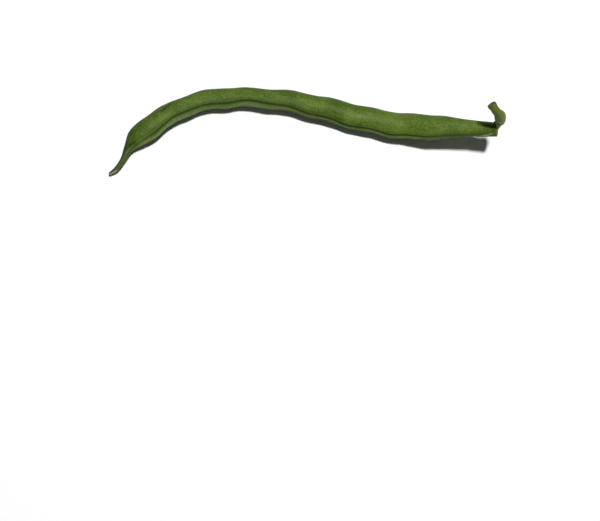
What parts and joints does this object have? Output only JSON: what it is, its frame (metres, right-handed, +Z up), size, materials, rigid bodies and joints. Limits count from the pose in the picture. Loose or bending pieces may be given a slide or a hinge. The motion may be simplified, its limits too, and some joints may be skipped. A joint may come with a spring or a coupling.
{
  "type": "green bean",
  "caption": "Slender, bowed green snap bean lying on its side, with a seamed, seed-swollen pod, a beaked tip, a small calyx cup and a hooked stalk stub.",
  "frame": {"origin": "under the middle of the bean's bounding box, on the surface that it lies on", "axes": "+X along the pod from the beak towards the stalk, +Y towards the outside of the pod's bow, +Z up"},
  "size_m": [0.1367, 0.0307, 0.029],
  "materials": {
    "pod_skin": "satin green plant skin, softly mottled, with a darker seam and a pale beak tip",
    "calyx_skin": "matt green plant skin with a paler rim",
    "stalk_skin": "matt green plant skin, finely ribbed, with a browned cut end"
  },
  "bodies": {
    "root": {"pod": "pod_skin", "calyx": "calyx_skin", "pedicel": "stalk_skin"}
  },
  "joints": []
}
